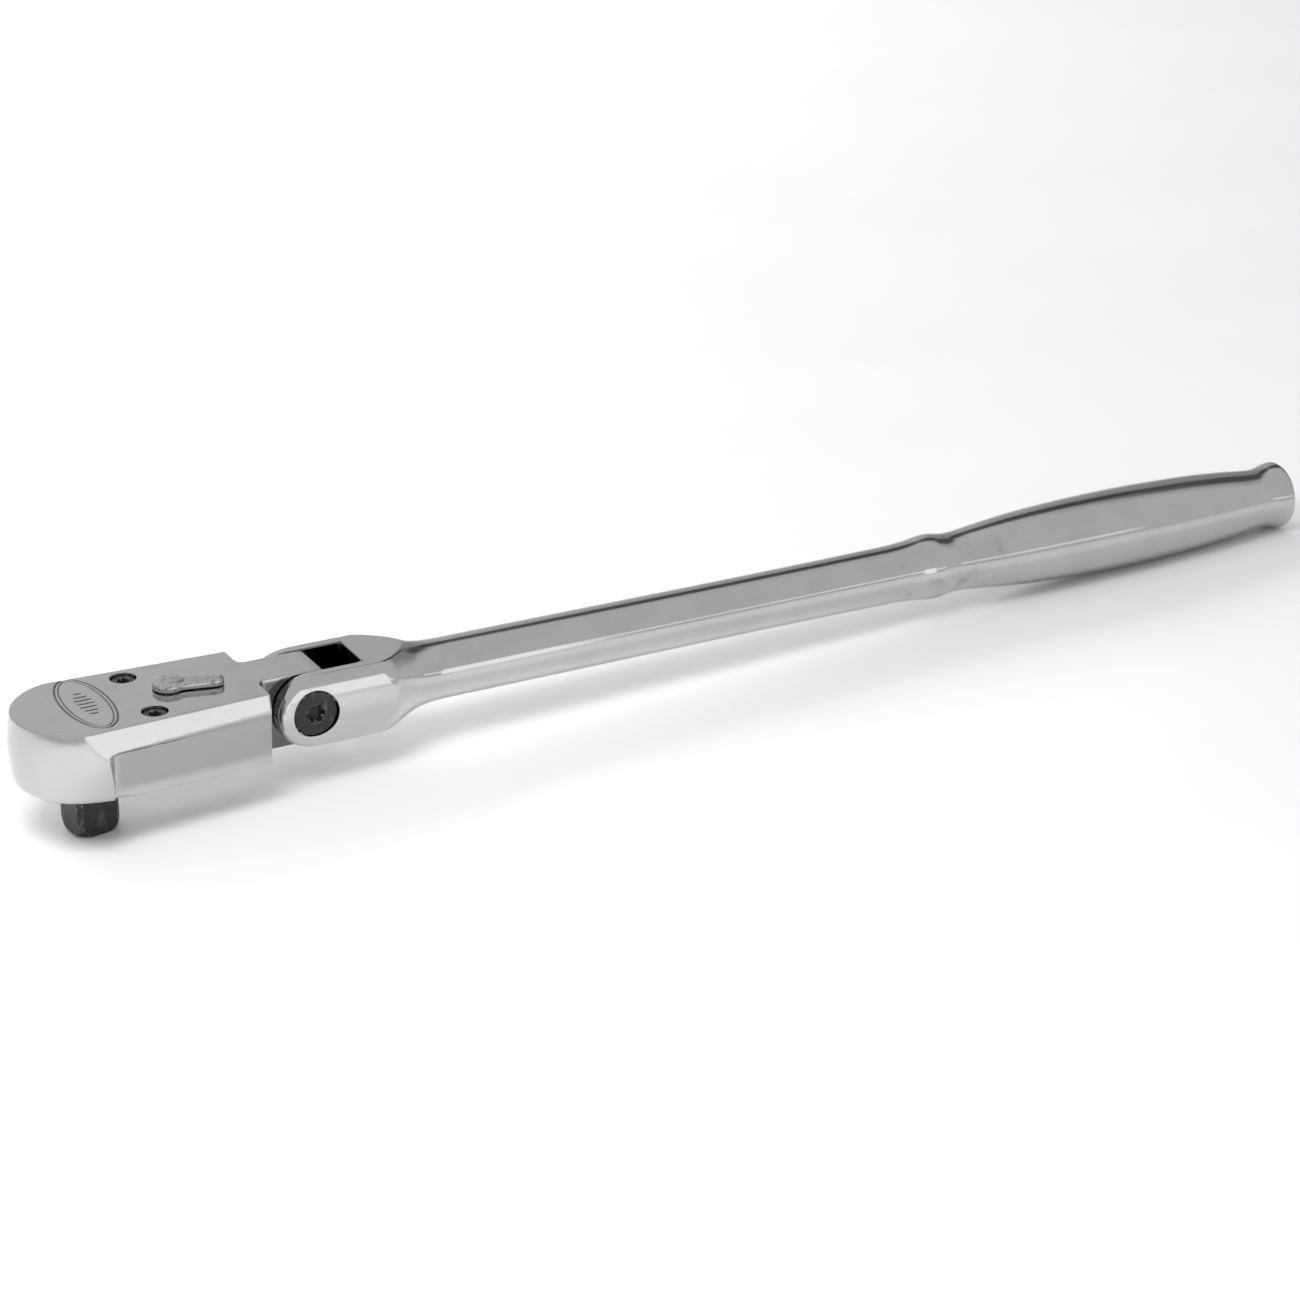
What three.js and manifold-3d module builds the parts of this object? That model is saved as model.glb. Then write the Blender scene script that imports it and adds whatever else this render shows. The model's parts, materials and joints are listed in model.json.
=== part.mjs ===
// Flex-head ratchet wrench with a 3/8 inch square drive.
// Millimetres, +Z up. The origin is the centre of the square drive's tip, +Z runs up the drive axis
// to the reversing lever, and +X runs along the handle to its butt.
import * as THREE from 'three';
import { mergeVertices } from 'three/addons/utils/BufferGeometryUtils.js';
import Module from 'manifold-3d';

const wasm = await Module();
wasm.setup();

// ---- Driving dimensions ----

const DRIVE_SQUARE = 9.525;         // across the flats of the square drive
const DRIVE_TURN = 7;               // degrees the square stands turned from the handle
const HEAD_BOTTOM = 11.2;
const HEAD_TOP = 27.2;
const HEAD_REAR = 35.8;             // shoulder where the head steps in to its tongue
const FORK_HALF_HEIGHT = 8;
const AXIS_Z = HEAD_TOP - FORK_HALF_HEIGHT;     // height of the handle's centre line
const PIVOT_X = 46.7;               // flex pivot
const FORK_HALF_WIDTH = 10.4;
const SLOT_HALF_WIDTH = 5.75;
const SLOT_END = 59;
const TONGUE_HALF_WIDTH = 5.45;
const TONGUE_RADIUS = 8.4;
const SHANK_RADIUS = 6.58;
const HANDLE_END = 300.6;

const PLATE_TOP = 14.1;             // inside face of the cover plate
const ROOF = 22.8;                  // underside of the head's top wall
const GEAR_TEETH = 72;
const GEAR_TIP_RADIUS = 10;
const GEAR_ROOT_RADIUS = 9.45;
const GEAR_BOTTOM = 14.7;
const GEAR_TOP = 22;
const HUB_RADIUS = 7;
const BOSS_RADIUS = 5;

const PAWL_X = 12;                  // pawl pin
const PAWL_TILT = 6.4;              // degrees the pawl rocks each way
const PAWL_PIN_RADIUS = 1.2;
const LEVER_X = 18.5;               // reversing lever's axis
const LEVER_TILT = 16;              // degrees the lever swings each way
const LEVER_LIFT = 0.2;             // gap between the lever and the head
const STEM_RADIUS = 3;
const PLUNGER_RADIUS = 1.2;
const PLUNGER_TIP = 4.3;            // plunger's tip, measured from the lever's axis
const PLUNGER_Z = 18.8;
const PAWL_HEEL_RADIUS = 4.4;       // hollow in the pawl that the plunger presses into

const COVER_SCREW_X = 12;
const COVER_SCREW_Y = 9.3;
const COVER_SCREW_SEAT = 24.4;

const PIVOT_HEAD_RADIUS = 4.85;
const PIVOT_HEAD_SEAT = 7.4;        // distance of the pivot screw's seat from the middle plane
const PIVOT_SCREW_RADIUS = 3.5;
const SPRING_WASHER_FLOOR = 4.75;

const BALL_RADIUS = 1.2;
const BALL_CENTRE = 4.2;
const BALL_Z = 5;

const RUNNING_GAP = 0.15;
const ROUND = 32;                   // sides of a turned piece
const SMALL_ROUND = 16;

// ---- Materials ----

function metal(color, roughness, metalness = 1) {
  return new THREE.MeshStandardMaterial({ color, roughness, metalness });
}

const chrome = metal(0xc9cbcc, 0.16);
const blackOxide = metal(0x1d1e20, 0.42, 0.7);
const castZinc = metal(0x9a9b9c, 0.45);
const springSteel = metal(0x8d9094, 0.3);
const pinSteel = metal(0xa6a9ad, 0.25);
const sealRubber = metal(0x18191a, 0.8, 0);

// ---- Geometry helpers ----

const degrees = THREE.MathUtils.degToRad;

function turned(profile, sides = ROUND) {
  const points = profile.map(([radius, height]) => new THREE.Vector2(radius, height));
  return new THREE.LatheGeometry(points, sides);
}

const turnedAlongX = (profile, sides) => turned(profile, sides).rotateZ(-Math.PI / 2);
const turnedAlongZ = (profile, sides) => turned(profile, sides).rotateX(Math.PI / 2);

function rodAlongX(radius, from, to, sides = SMALL_ROUND) {
  return turnedAlongX([[0, from], [radius, from], [radius, to], [0, to]], sides);
}

function rodAlongY(radius, from, to, sides = ROUND) {
  return turned([[0, from], [radius, from], [radius, to], [0, to]], sides);
}

function rodAlongZ(radius, from, to, sides = ROUND) {
  return turnedAlongZ([[0, from], [radius, from], [radius, to], [0, to]], sides);
}

// A ring of round section about Z
function roundRing(middleRadius, sectionRadius, height, sides = SMALL_ROUND) {
  const profile = [];
  for (let step = 0; step <= 6; step += 1) {
    const angle = (step % 6) * Math.PI / 3;
    const [out, up] = [sectionRadius * Math.cos(angle), sectionRadius * Math.sin(angle)];
    profile.push([middleRadius + out, height + up]);
  }
  return turnedAlongZ(profile, sides);
}

function flatRing(inner, outer, from, to, sides = SMALL_ROUND) {
  return turnedAlongZ([[inner, from], [outer, from], [outer, to], [inner, to], [inner, from]], sides);
}

function prismAlongZ(shape, from, to) {
  const settings = { depth: to - from, bevelEnabled: false, curveSegments: 8 };
  return new THREE.ExtrudeGeometry(shape, settings).translate(0, 0, from);
}

// The shape is drawn in the YZ plane
function prismAlongX(shape, from, to) {
  const yAxis = new THREE.Vector3(0, 1, 0);
  const zAxis = new THREE.Vector3(0, 0, 1);
  const xAxis = new THREE.Vector3(1, 0, 0);
  const turn = new THREE.Matrix4().makeBasis(yAxis, zAxis, xAxis);
  return prismAlongZ(shape, from, to).applyMatrix4(turn);
}

function block(from, to) {
  const size = to.map((value, axis) => value - from[axis]);
  const middle = to.map((value, axis) => (value + from[axis]) / 2);
  return new THREE.BoxGeometry(...size).translate(...middle);
}

function polygon(points) {
  return new THREE.Shape(points.map(([x, y]) => new THREE.Vector2(x, y)));
}

// A wire coil about Z, from height 0 up
function coil(radius, wireRadius, turns, length) {
  const points = [];
  const perTurn = 8;
  const rise = length - 2 * wireRadius;
  for (let step = 0; step <= turns * perTurn; step += 1) {
    const angle = step * 2 * Math.PI / perTurn;
    const height = wireRadius + rise * step / (turns * perTurn);
    points.push(new THREE.Vector3(radius * Math.cos(angle), radius * Math.sin(angle), height));
  }
  const wire = new THREE.Shape().absarc(0, 0, wireRadius, 0, 2 * Math.PI);
  const path = new THREE.CatmullRomCurve3(points);
  return new THREE.ExtrudeGeometry(wire, { extrudePath: path, steps: turns * perTurn, curveSegments: 5 });
}

// ---- Solids ----

const WELD = 1e-4;

function signedVolume(positions, corners) {
  let volume = 0;
  const [a, b, c] = [new THREE.Vector3(), new THREE.Vector3(), new THREE.Vector3()];
  for (let i = 0; i < corners.length; i += 3) {
    a.fromArray(positions, 3 * corners[i]);
    b.fromArray(positions, 3 * corners[i + 1]);
    c.fromArray(positions, 3 * corners[i + 2]);
    volume += a.dot(b.cross(c)) / 6;
  }
  return volume;
}

function solid(geometry) {
  const bare = new THREE.BufferGeometry();
  bare.setAttribute('position', geometry.getAttribute('position'));
  bare.setIndex(geometry.index);
  const welded = mergeVertices(bare, WELD);
  const positions = welded.getAttribute('position').array;
  const index = welded.index.array;
  const corners = [];
  for (let i = 0; i < index.length; i += 3) {
    const [a, b, c] = [index[i], index[i + 1], index[i + 2]];
    if (a !== b && b !== c && c !== a) {
      corners.push(a, b, c);
    }
  }
  if (signedVolume(positions, corners) < 0) {
    corners.reverse();
  }
  const vertProperties = new Float32Array(positions);
  const triVerts = new Uint32Array(corners);
  return new wasm.Manifold(new wasm.Mesh({ numProp: 3, vertProperties, triVerts }));
}

const joined = (first, ...others) => others.reduce((whole, piece) => whole.add(piece), first);
const cutBy = (first, ...cutters) => cutters.reduce((whole, cutter) => whole.subtract(cutter), first);

function piece(name, shape, material) {
  const { vertProperties, triVerts } = shape.getMesh();
  const geometry = new THREE.BufferGeometry();
  geometry.setAttribute('position', new THREE.BufferAttribute(vertProperties, 3));
  geometry.setIndex(new THREE.BufferAttribute(triVerts, 1));
  geometry.computeVertexNormals();
  const mesh = new THREE.Mesh(geometry, material);
  mesh.name = name;
  return mesh;
}

// ---- Handle: fork, neck, shank, bead and grip, in the pivot's frame ----

const fromPivot = (x) => x - PIVOT_X;

// Each entry is [radius, distance from the drive axis]
const NECK_PROFILE = [
  [0, 61], [10.35, 61], [10.3, 64.5], [9.8, 66], [9, 68], [8.1, 70], [7.4, 72], [6.86, 74.5],
  [6.64, 77], [SHANK_RADIUS, 80], [SHANK_RADIUS, 84], [0, 84],
];
const GRIP_PROFILE = [
  [0, 82], [SHANK_RADIUS, 82], [SHANK_RADIUS, 190], [6.7, 194], [7.05, 197.5], [7.4, 200], [7.5, 202],
  [7.25, 204], [6.9, 206.5], [6.9, 209], [7.3, 213], [7.95, 219], [8.55, 226], [9.05, 236],
  [9.3, 247], [9.3, 257], [9.05, 267], [8.6, 277], [7.85, 286], [7.25, 291.5], [7.1, 293.5],
  [7.3, 295.8], [7.7, 297.5], [7.9, 298.7], [7.75, 299.7], [7.1, 300.4], [6.5, HANDLE_END], [0, HANDLE_END],
];
const FORK_ROUND = 13.5;            // height of the fork's oval section before its top is milled flat

const alongHandle = (profile) => profile.map(([radius, x]) => [radius, fromPivot(x)]);

function makeHandle() {
  const oval = [[0, 36], [FORK_ROUND, 36], [FORK_ROUND, 63], [11.5, 65.5], [8, 68.5], [0, 68.5]];
  const fork = solid(turnedAlongX(alongHandle(oval)).scale(1, FORK_HALF_WIDTH / FORK_ROUND, 1));
  const neck = solid(turnedAlongX(alongHandle(NECK_PROFILE)));
  const roundEnd = solid(rodAlongY(FORK_HALF_HEIGHT, -20, 20, 48));
  const flats = solid(block([0, -20, -FORK_HALF_HEIGHT], [60, 20, FORK_HALF_HEIGHT]));
  const forged = fork.add(neck).intersect(roundEnd.add(flats));
  const blank = forged.add(solid(turnedAlongX(alongHandle(GRIP_PROFILE))));

  const corner = 1.5;
  const end = fromPivot(SLOT_END);
  const slot = new THREE.Shape();
  slot.moveTo(-20, -SLOT_HALF_WIDTH);
  slot.lineTo(end - corner, -SLOT_HALF_WIDTH);
  slot.absarc(end - corner, corner - SLOT_HALF_WIDTH, corner, -Math.PI / 2, 0);
  slot.absarc(end - corner, SLOT_HALF_WIDTH - corner, corner, 0, Math.PI / 2);
  slot.lineTo(-20, SLOT_HALF_WIDTH);
  return cutBy(
    blank,
    solid(prismAlongZ(slot, -12, 12)),
    solid(rodAlongY(PIVOT_HEAD_RADIUS + 0.2, -14, -PIVOT_HEAD_SEAT)),
    solid(rodAlongY(PIVOT_SCREW_RADIUS + RUNNING_GAP, -8, 0)),
    solid(rodAlongY(3.1, 0, 14)),
  );
}

// A six-lobed driver recess
function lobedStar(outer, inner) {
  const points = [];
  for (let step = 0; step < 12; step += 1) {
    const radius = step % 2 === 0 ? outer : inner;
    points.push([radius * Math.cos(step * Math.PI / 6), radius * Math.sin(step * Math.PI / 6)]);
  }
  return polygon(points);
}

function makePivotScrew() {
  const face = -9.8;
  const seat = -PIVOT_HEAD_SEAT;
  const stepY = SLOT_HALF_WIDTH + 0.2;
  const profile = [
    [0, face], [PIVOT_HEAD_RADIUS - 0.4, face], [PIVOT_HEAD_RADIUS, face + 0.4],
    [PIVOT_HEAD_RADIUS, seat], [PIVOT_SCREW_RADIUS, seat], [PIVOT_SCREW_RADIUS, stepY - 0.6],
    [2.9, stepY], [2.9, 9.2], [2.5, 9.6], [0, 9.6],
  ];
  const recess = solid(prismAlongZ(lobedStar(2.1, 1.5), 0, 4).rotateX(Math.PI / 2).translate(0, -8.1, 0));
  return solid(turned(profile)).subtract(recess);
}

function makeFrictionWasher() {
  const cone = [
    [3.8, SPRING_WASHER_FLOOR + 0.3], [6.3, SPRING_WASHER_FLOOR + 0.05], [6.3, SPRING_WASHER_FLOOR + 0.55],
    [3.8, SPRING_WASHER_FLOOR + 0.8], [3.8, SPRING_WASHER_FLOOR + 0.3],
  ];
  return solid(turned(cone, 24));
}

// ---- Head ----

const HEAD_TAPER = 0.0034;          // the head narrows by this share of its width per millimetre

function headBlock() {
  const side = [[13.7, HEAD_BOTTOM], [14.05, 12], [14.85, 22.7], [15.15, 23.4], [14.1, HEAD_TOP]];
  const outline = [...side, ...side.map(([y, z]) => [-y, z]).reverse()];
  const geometry = prismAlongX(polygon(outline), 0, HEAD_REAR);
  const positions = geometry.getAttribute('position');
  for (let i = 0; i < positions.count; i += 1) {
    positions.setY(i, positions.getY(i) * (1 - HEAD_TAPER * positions.getX(i)));
  }
  return solid(geometry);
}

function headTongue() {
  const shoulder = 8.9;
  const root = 38.6;
  const end = 60;
  const plan = new THREE.Shape();
  plan.moveTo(30, -shoulder);
  plan.lineTo(HEAD_REAR, -shoulder);
  plan.quadraticCurveTo(HEAD_REAR + 0.4, -TONGUE_HALF_WIDTH, root, -TONGUE_HALF_WIDTH);
  plan.lineTo(end, -TONGUE_HALF_WIDTH);
  plan.lineTo(end, TONGUE_HALF_WIDTH);
  plan.lineTo(root, TONGUE_HALF_WIDTH);
  plan.quadraticCurveTo(HEAD_REAR + 0.4, TONGUE_HALF_WIDTH, HEAD_REAR, shoulder);
  plan.lineTo(30, shoulder);
  const roundEnd = solid(rodAlongY(TONGUE_RADIUS, -12, 12, 48).translate(PIVOT_X, 0, AXIS_Z));
  const bar = solid(block([28, -12, 0], [PIVOT_X, 12, 30]));
  return solid(prismAlongZ(plan, HEAD_BOTTOM, HEAD_TOP)).intersect(bar.add(roundEnd));
}

// Pear outline of the cover plate, or of its seat in the head when it is given a gap
function coverOutline(gap) {
  const front = 12 + gap;
  const side = 11.2 + gap;
  const rear = 26.5 + gap;
  const outline = new THREE.Shape();
  outline.moveTo(0, -front);
  outline.lineTo(22, -side);
  outline.quadraticCurveTo(rear, -side, rear, -side + 4.5);
  outline.lineTo(rear, side - 4.5);
  outline.quadraticCurveTo(rear, side, 22, side);
  outline.lineTo(0, front);
  outline.absarc(0, 0, front, Math.PI / 2, 3 * Math.PI / 2);
  return outline;
}

function ringSector(inner, outer, halfAngle) {
  const angle = degrees(halfAngle);
  const outline = new THREE.Shape();
  outline.absarc(0, 0, outer, -angle, angle);
  outline.absarc(0, 0, inner, angle, -angle, true);
  return outline;
}

const screwSides = [['near', -1], ['far', 1]];

function makeHeadHousing() {
  const barrelProfile = [
    [0, HEAD_BOTTOM], [12.9, HEAD_BOTTOM], [14.2, 11.7], [15, 12.8], [15.35, 14.8], [15.62, 17.2],
    [15.7, 19.5], [15.6, 22], [15.27, 24.9], [14.8, HEAD_TOP], [0, HEAD_TOP],
  ];
  const body = joined(solid(turnedAlongZ(barrelProfile, 48)), headBlock(), headTongue());
  const cavities = [
    solid(prismAlongZ(coverOutline(RUNNING_GAP), HEAD_BOTTOM - 1, PLATE_TOP)),
    solid(rodAlongZ(GEAR_TIP_RADIUS + 0.7, PLATE_TOP - 1, ROOF, 48)),
    solid(rodAlongZ(BOSS_RADIUS + RUNNING_GAP, ROOF - 1, ROOF + 2.2)),
    solid(prismAlongZ(ringSector(8, 13.9, 29.5), PLATE_TOP - 1, ROOF)),
    solid(block([PAWL_X, -3.3, PLATE_TOP - 1], [16, 3.3, ROOF])),
    solid(rodAlongZ(4.9, PLATE_TOP - 1, ROOF).translate(LEVER_X, 0, 0)),
    solid(rodAlongZ(STEM_RADIUS + 0.25, ROOF - 1, HEAD_TOP + 1).translate(LEVER_X, 0, 0)),
    solid(rodAlongZ(PAWL_PIN_RADIUS + 0.1, ROOF - 1, ROOF + 2.4, SMALL_ROUND).translate(PAWL_X, 0, 0)),
    solid(rodAlongY(PIVOT_SCREW_RADIUS + 0.2, -12, 12).translate(PIVOT_X, 0, AXIS_Z)),
  ];
  for (const [, side] of screwSides) {
    const across = side * COVER_SCREW_Y;
    const hole = solid(rodAlongZ(1.65, 0, HEAD_TOP, SMALL_ROUND).translate(COVER_SCREW_X, across, 0));
    const seat = solid(rodAlongZ(2.75, COVER_SCREW_SEAT, HEAD_TOP + 5).translate(COVER_SCREW_X, across, 0));
    const [from, to] = [side * SPRING_WASHER_FLOOR, side * 9].sort((a, b) => a - b);
    const washerSeat = solid(rodAlongY(6.6, from, to).translate(PIVOT_X, 0, AXIS_Z));
    cavities.push(hole, seat, washerSeat);
  }
  return cutBy(body, ...cavities);
}

function makeCoverPlate() {
  const cuts = [
    solid(rodAlongZ(HUB_RADIUS + 0.3, 0, 20)),
    solid(rodAlongZ(8.3, 12.5, 13.7)),
    solid(rodAlongZ(PAWL_PIN_RADIUS + 0.1, 12.6, 20, SMALL_ROUND).translate(PAWL_X, 0, 0)),
  ];
  for (const [, side] of screwSides) {
    cuts.push(solid(rodAlongZ(1.6, 0, 20, SMALL_ROUND).translate(COVER_SCREW_X, side * COVER_SCREW_Y, 0)));
  }
  return cutBy(solid(prismAlongZ(coverOutline(0), HEAD_BOTTOM, PLATE_TOP)), ...cuts);
}

// In the frame of its own axis, with its seat at height 0
function makeCoverScrew() {
  const headHeight = 2.2;
  const profile = [
    [0, -12], [1.2, -12], [1.5, -11.6], [1.5, 0], [2.55, 0], [2.55, headHeight - 0.3],
    [2.25, headHeight], [0, headHeight],
  ];
  const recess = solid(rodAlongZ(1.45, 0.8, 4, 6));
  return solid(turnedAlongZ(profile, SMALL_ROUND)).subtract(recess);
}

// ---- Drive gear, in the frame of the drive axis ----

// Trapezoid teeth, grown by a gap when the outline cuts the pawl
function gearOutline(gap) {
  const points = [];
  const pitch = 2 * Math.PI / GEAR_TEETH;
  const corners = [
    [0, GEAR_ROOT_RADIUS], [0.16, GEAR_ROOT_RADIUS], [0.42, GEAR_TIP_RADIUS], [0.74, GEAR_TIP_RADIUS],
  ];
  for (let tooth = 0; tooth < GEAR_TEETH; tooth += 1) {
    for (const [share, radius] of corners) {
      const angle = (tooth + share) * pitch;
      points.push([(radius + gap) * Math.cos(angle), (radius + gap) * Math.sin(angle)]);
    }
  }
  return polygon(points);
}

function makeDriveGear() {
  const half = DRIVE_SQUARE / 2;
  const chamfer = 0.93;
  const near = half - chamfer;
  const square = polygon([
    [half, -near], [half, near], [near, half], [-near, half],
    [-half, near], [-half, -near], [-near, -half], [near, -half],
  ]);
  const tipProfile = [[0, 0], [4.9, 0], [5.5, 0.6], [5.95, 1.6], [6.3, 3], [6.5, 5], [6.5, 14], [0, 14]];
  const tang = solid(prismAlongZ(square, 0, 13)).intersect(solid(turnedAlongZ(tipProfile, 48)));
  const wheel = joined(
    solid(prismAlongZ(gearOutline(0), GEAR_BOTTOM, GEAR_TOP)),
    solid(rodAlongZ(HUB_RADIUS, HEAD_BOTTOM, GEAR_BOTTOM)),
    solid(rodAlongZ(BOSS_RADIUS, GEAR_TOP, ROOF + 2)),
    tang,
  );
  return wheel.subtract(solid(rodAlongX(BALL_RADIUS + RUNNING_GAP, 1.4, 8).translate(0, 0, BALL_Z)));
}

// ---- Pawl, in the frame of its pin, midway between its two working positions ----

function makePawl() {
  const bottom = 15;
  const top = 21.8;
  const wings = solid(prismAlongZ(ringSector(9.3, 13, 27), bottom, top));
  const heel = solid(block([PAWL_X, -2.6, bottom], [15.2, 2.6, top]));
  const cuts = [
    solid(rodAlongZ(PAWL_PIN_RADIUS + 0.1, 0, 30, SMALL_ROUND).translate(PAWL_X, 0, 0)),
    solid(rodAlongZ(PAWL_HEEL_RADIUS, 0, 30).translate(LEVER_X, 0, 0)),
    solid(rodAlongZ(GEAR_TIP_RADIUS + 0.1, 0, 30, 96)),
  ];
  for (const side of [-1, 1]) {
    const gear = prismAlongZ(gearOutline(RUNNING_GAP), 0, 30).rotateZ(degrees(DRIVE_TURN));
    gear.translate(-PAWL_X, 0, 0).rotateZ(degrees(side * PAWL_TILT)).translate(PAWL_X, 0, 0);
    cuts.push(solid(gear));
  }
  return cutBy(wings.add(heel), ...cuts).translate([-PAWL_X, 0, 0]);
}

// ---- Reversing lever, in the frame of its axis, with the head's top at height 0 ----

function leverOutline() {
  const hub = 3.4;
  const tip = 2.1;
  const reach = 9.2;
  const outline = new THREE.Shape();
  outline.absarc(0, 0, hub, degrees(45), degrees(315));
  outline.lineTo(reach, -tip);
  outline.quadraticCurveTo(reach + 2.1, -tip, reach + 2.2, 0);
  outline.quadraticCurveTo(reach + 2.1, tip, reach, tip);
  outline.closePath();
  return outline;
}

function makeReverseLever() {
  const height = (z) => z - HEAD_TOP;
  const thickness = 2.1;
  const stemProfile = [
    [0, height(14.9)], [STEM_RADIUS, height(14.9)], [STEM_RADIUS, height(21.9)], [2.4, height(21.9)],
    [2.4, height(22.7)], [STEM_RADIUS, height(22.7)], [STEM_RADIUS, height(24.2)], [2.05, height(24.2)],
    [2.05, height(25.6)], [STEM_RADIUS, height(25.6)], [STEM_RADIUS, LEVER_LIFT + 0.5], [0, LEVER_LIFT + 0.5],
  ];
  const grip = solid(prismAlongZ(leverOutline(), LEVER_LIFT, LEVER_LIFT + thickness));
  const bore = solid(rodAlongX(PLUNGER_RADIUS + 0.1, -5, 1.6).translate(0, 0, height(PLUNGER_Z)));
  return grip.add(solid(turnedAlongZ(stemProfile, SMALL_ROUND))).subtract(bore);
}

// An open snap ring under the head's top wall
function makeLeverClip() {
  const [inner, outer, mouth] = [2.55, 4.4, degrees(35)];
  const outline = new THREE.Shape();
  outline.absarc(0, 0, outer, mouth, 2 * Math.PI - mouth);
  outline.absarc(0, 0, inner, 2 * Math.PI - mouth, mouth, true);
  return solid(prismAlongZ(outline, 22 - HEAD_TOP, 22.6 - HEAD_TOP));
}

// It points along +X, away from the lever's axis
function makePlunger() {
  const profile = [[0, 1.2], [PLUNGER_RADIUS, 1.2]];
  for (let step = 0; step <= 4; step += 1) {
    const angle = step * Math.PI / 8;
    const along = PLUNGER_TIP - PLUNGER_RADIUS + PLUNGER_RADIUS * Math.sin(angle);
    profile.push([step === 4 ? 0 : PLUNGER_RADIUS * Math.cos(angle), along]);
  }
  return solid(turnedAlongX(profile, SMALL_ROUND));
}

function makeBall() {
  return solid(new THREE.SphereGeometry(BALL_RADIUS, 12, 8));
}

// ---- Assembly ----

function groupAt(x, y, z, turn = 0) {
  const group = new THREE.Group();
  group.position.set(x, y, z);
  group.rotation.z = degrees(turn);
  return group;
}

const handleGroup = groupAt(PIVOT_X, 0, AXIS_Z);
handleGroup.add(piece('handle', makeHandle(), chrome));
handleGroup.add(piece('pivot_screw', makePivotScrew(), blackOxide));
const washerNear = piece('friction_washer_near', makeFrictionWasher(), springSteel);
washerNear.rotation.z = Math.PI;
handleGroup.add(washerNear);
handleGroup.add(piece('friction_washer_far', makeFrictionWasher(), springSteel));

const headGroup = new THREE.Group();
headGroup.add(piece('head_housing', makeHeadHousing(), chrome));
headGroup.add(piece('cover_plate', makeCoverPlate(), chrome));
for (const [side, sign] of screwSides) {
  const screw = piece(`cover_screw_${side}`, makeCoverScrew(), blackOxide);
  screw.position.set(COVER_SCREW_X, sign * COVER_SCREW_Y, COVER_SCREW_SEAT);
  headGroup.add(screw);
}
headGroup.add(piece('drive_seal', solid(roundRing(7.7, 0.55, 13.1, 24)), sealRubber));
headGroup.add(piece('gear_washer', solid(flatRing(5.3, 9, 22.15, 22.65)), springSteel));
const pin = piece('pawl_pin', solid(rodAlongZ(PAWL_PIN_RADIUS, 12.7, 25.1, SMALL_ROUND)), pinSteel);
pin.position.x = PAWL_X;
headGroup.add(pin);

const driveGroup = groupAt(0, 0, 0, DRIVE_TURN);
driveGroup.add(piece('drive_gear', makeDriveGear(), blackOxide));
const ball = piece('drive_ball', makeBall(), pinSteel);
ball.position.set(BALL_CENTRE, 0, BALL_Z);
driveGroup.add(ball);
const ballSpring = piece('ball_spring', solid(coil(0.85, 0.15, 2, 0.85)), springSteel);
ballSpring.position.set(1.45, 0, BALL_Z);
ballSpring.rotation.y = Math.PI / 2;
driveGroup.add(ballSpring);

const pawlGroup = groupAt(PAWL_X, 0, 0, PAWL_TILT);
pawlGroup.add(piece('pawl', makePawl(), pinSteel));

const leverGroup = groupAt(LEVER_X, 0, HEAD_TOP, -LEVER_TILT);
leverGroup.add(piece('reverse_lever', makeReverseLever(), castZinc));
leverGroup.add(piece('lever_clip', makeLeverClip(), springSteel));
leverGroup.add(piece('lever_o_ring', solid(roundRing(2.65, 0.5, 24.9 - HEAD_TOP)), sealRubber));
const plunger = piece('plunger', makePlunger(), pinSteel);
plunger.position.z = PLUNGER_Z - HEAD_TOP;
plunger.rotation.z = Math.PI;
leverGroup.add(plunger);
const plungerSpring = piece('plunger_spring', solid(coil(0.85, 0.17, 3, 2.1)), springSteel);
plungerSpring.position.set(1.5, 0, PLUNGER_Z - HEAD_TOP);
plungerSpring.rotation.y = -Math.PI / 2;
leverGroup.add(plungerSpring);

const wrench = new THREE.Group();
wrench.add(handleGroup, headGroup, driveGroup, pawlGroup, leverGroup);

export default wrench;
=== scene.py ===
"""Looks of a flex-head ratchet wrench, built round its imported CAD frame.

Shapes are written in millimetres, in the part's own frame, as distance fields: functions of a point
that are negative inside the metal. surface_net() turns a field into a mesh, which is then scaled to metres.
"""

import json
import math

import bpy
import numpy as np
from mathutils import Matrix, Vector


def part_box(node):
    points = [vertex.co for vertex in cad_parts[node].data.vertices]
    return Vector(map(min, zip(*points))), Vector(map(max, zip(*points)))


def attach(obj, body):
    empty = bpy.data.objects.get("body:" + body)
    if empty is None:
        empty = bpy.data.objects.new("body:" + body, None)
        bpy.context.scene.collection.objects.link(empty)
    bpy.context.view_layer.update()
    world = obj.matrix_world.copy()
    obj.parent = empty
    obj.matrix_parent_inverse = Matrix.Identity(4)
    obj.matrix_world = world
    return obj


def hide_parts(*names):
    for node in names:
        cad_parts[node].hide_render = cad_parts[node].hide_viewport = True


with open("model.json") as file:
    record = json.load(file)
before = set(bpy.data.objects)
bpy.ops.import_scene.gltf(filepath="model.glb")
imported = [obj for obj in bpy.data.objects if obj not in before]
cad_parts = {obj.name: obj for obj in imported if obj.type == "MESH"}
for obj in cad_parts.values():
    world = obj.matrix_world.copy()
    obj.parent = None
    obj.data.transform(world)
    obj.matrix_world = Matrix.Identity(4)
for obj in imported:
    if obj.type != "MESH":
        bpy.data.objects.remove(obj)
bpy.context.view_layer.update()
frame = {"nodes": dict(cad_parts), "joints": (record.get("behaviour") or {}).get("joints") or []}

MM = 0.001
PAST = 40.0                     # millimetres: an end this far out is clear of the metal it cuts


# ---- Places taken from the frame, in millimetres ----

def joint_place(name):
    joint = next(joint for joint in frame["joints"] if joint["name"] == name)
    return np.array(joint["pos_m"]) / MM


def node_box(name):
    low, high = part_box(name)
    return np.array(low) / MM, np.array(high) / MM


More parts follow.
